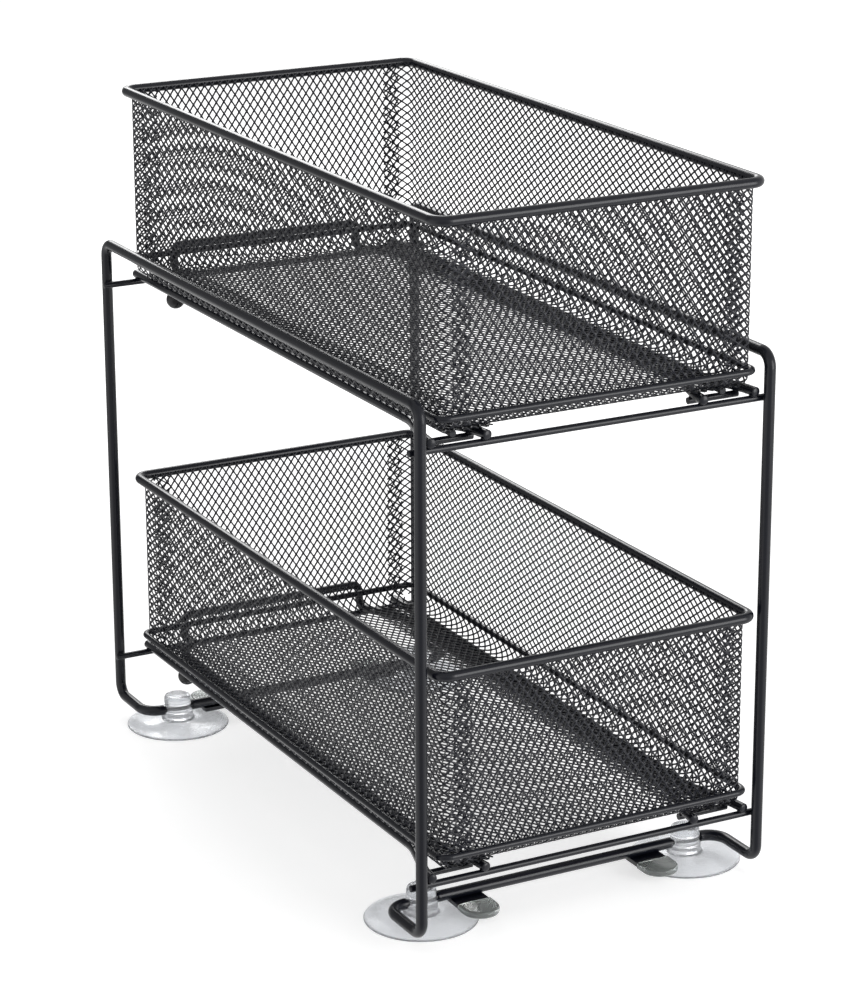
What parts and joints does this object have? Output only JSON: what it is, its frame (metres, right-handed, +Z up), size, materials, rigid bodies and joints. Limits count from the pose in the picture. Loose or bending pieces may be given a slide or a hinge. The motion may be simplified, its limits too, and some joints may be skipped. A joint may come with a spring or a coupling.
{
  "type": "pull-out cabinet basket",
  "caption": "Two-tier pull-out cabinet basket: black wire frame on clear suction cups, with mesh drawers that slide forward on paired wire runners.",
  "frame": {"origin": "on the floor under the middle of the frame, midway between the four posts", "axes": "+Z up, the drawers pull out along -Y, +X to the right seen from the front"},
  "size_m": [0.22, 0.3921, 0.3784],
  "materials": {
    "powder_coat": "satin black powder coat on bent and welded steel wire and expanded mesh",
    "clear_pvc": "clear soft PVC, glossy",
    "black_plastic": "black moulded plastic, satin"
  },
  "bodies": {
    "frame": {"left_side_hoop": "powder_coat", "right_side_hoop": "powder_coat", "front_cross_tube": "powder_coat", "rear_cross_tube": "powder_coat", "front_left_suction_cup": "clear_pvc", "front_right_suction_cup": "clear_pvc", "rear_left_suction_cup": "clear_pvc", "rear_right_suction_cup": "clear_pvc", "front_left_tab": "powder_coat", "front_right_tab": "powder_coat", "rear_left_tab": "powder_coat", "rear_right_tab": "powder_coat", "front_left_tab_cap": "clear_pvc", "front_right_tab_cap": "clear_pvc", "rear_left_tab_cap": "clear_pvc", "rear_right_tab_cap": "clear_pvc", "upper_front_cross_wire": "powder_coat", "upper_rear_cross_wire": "powder_coat", "lower_front_cross_wire": "powder_coat", "lower_rear_cross_wire": "powder_coat", "upper_left_outer_runner": "powder_coat", "upper_right_outer_runner": "powder_coat", "lower_left_outer_runner": "powder_coat", "lower_right_outer_runner": "powder_coat", "upper_inner_runner_loop": "powder_coat", "lower_inner_runner_loop": "powder_coat", "upper_left_runner_tie": "powder_coat", "upper_right_runner_tie": "powder_coat", "lower_left_runner_tie": "powder_coat", "lower_right_runner_tie": "powder_coat"},
    "upper_drawer": {"upper_drawer_rim": "powder_coat", "upper_drawer_bottom_ring": "powder_coat", "upper_drawer_mesh_front": "powder_coat", "upper_drawer_mesh_rear": "powder_coat", "upper_drawer_mesh_left": "powder_coat", "upper_drawer_mesh_right": "powder_coat", "upper_drawer_mesh_floor": "powder_coat", "upper_drawer_mesh_corners": "powder_coat", "upper_left_slider_wire": "powder_coat", "upper_right_slider_wire": "powder_coat", "upper_left_guide_ball": "black_plastic", "upper_right_guide_ball": "black_plastic"},
    "lower_drawer": {"lower_drawer_rim": "powder_coat", "lower_drawer_bottom_ring": "powder_coat", "lower_drawer_mesh_front": "powder_coat", "lower_drawer_mesh_rear": "powder_coat", "lower_drawer_mesh_left": "powder_coat", "lower_drawer_mesh_right": "powder_coat", "lower_drawer_mesh_floor": "powder_coat", "lower_drawer_mesh_corners": "powder_coat", "lower_left_slider_wire": "powder_coat", "lower_right_slider_wire": "powder_coat", "lower_left_guide_ball": "black_plastic", "lower_right_guide_ball": "black_plastic"}
  },
  "joints": [
    {"name": "upper_drawer_slide", "type": "slide", "parent": "frame", "child": "upper_drawer", "axis": [0, -1, 0], "range_m": [-0.0045, 0.311]},
    {"name": "lower_drawer_slide", "type": "slide", "parent": "frame", "child": "lower_drawer", "axis": [0, -1, 0], "range_m": [-0.0062, 0.3093]}
  ]
}
